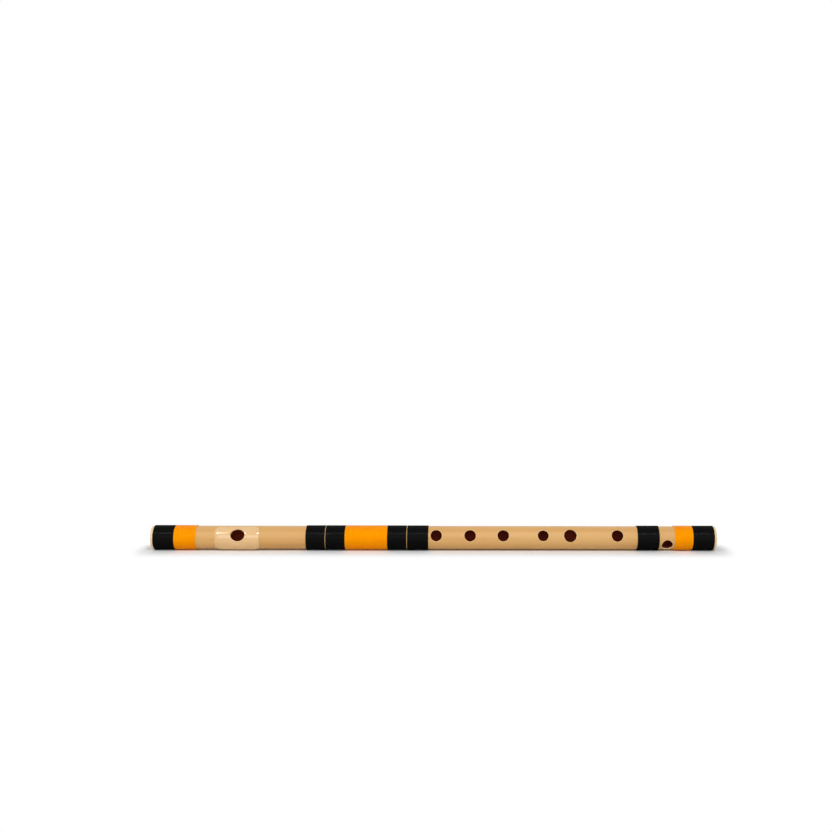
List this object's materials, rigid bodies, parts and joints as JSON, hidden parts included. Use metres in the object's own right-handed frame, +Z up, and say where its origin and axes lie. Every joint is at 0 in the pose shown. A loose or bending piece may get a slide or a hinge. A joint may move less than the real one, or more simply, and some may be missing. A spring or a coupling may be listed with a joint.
{
  "type": "bansuri",
  "caption": "Side-blown bamboo flute: a straight open tube with an oval blow hole in a lip plate, a line of finger holes, a turned foot hole, bands of bound thread and a sliding cork stopper.",
  "frame": {"origin": "on the surface that the flute lies on, under the centre line, midway between the two ends", "axes": "+X along the tube to the foot end, +Z up, and the finger holes face the front, -Y, tilted up by 22.5 degrees"},
  "size_m": [0.4826, 0.0212, 0.0209],
  "materials": {
    "bamboo": "satin, lacquered bamboo with fine lengthwise fibres",
    "plate_ivory": "polished, pale ivory",
    "orange_thread": "close-wound shiny thread",
    "black_thread": "close-wound thread, low sheen",
    "cork": "matt cork"
  },
  "bodies": {
    "flute": {"bamboo_tube": "bamboo", "lip_plate": "plate_ivory", "head_black_binding": "black_thread", "head_orange_binding": "orange_thread", "middle_black_binding_1": "black_thread", "middle_black_binding_2": "black_thread", "middle_orange_binding": "orange_thread", "middle_black_binding_3": "black_thread", "middle_black_binding_4": "black_thread", "foot_inner_black_binding": "black_thread", "foot_orange_binding": "orange_thread", "foot_end_black_binding": "black_thread"},
    "stopper": {"stopper_cork": "cork"}
  },
  "joints": [
    {"name": "stopper_slide", "type": "slide", "parent": "flute", "child": "stopper", "axis": [1, 0, 0], "range_m": [-0.011, 0.011]}
  ]
}
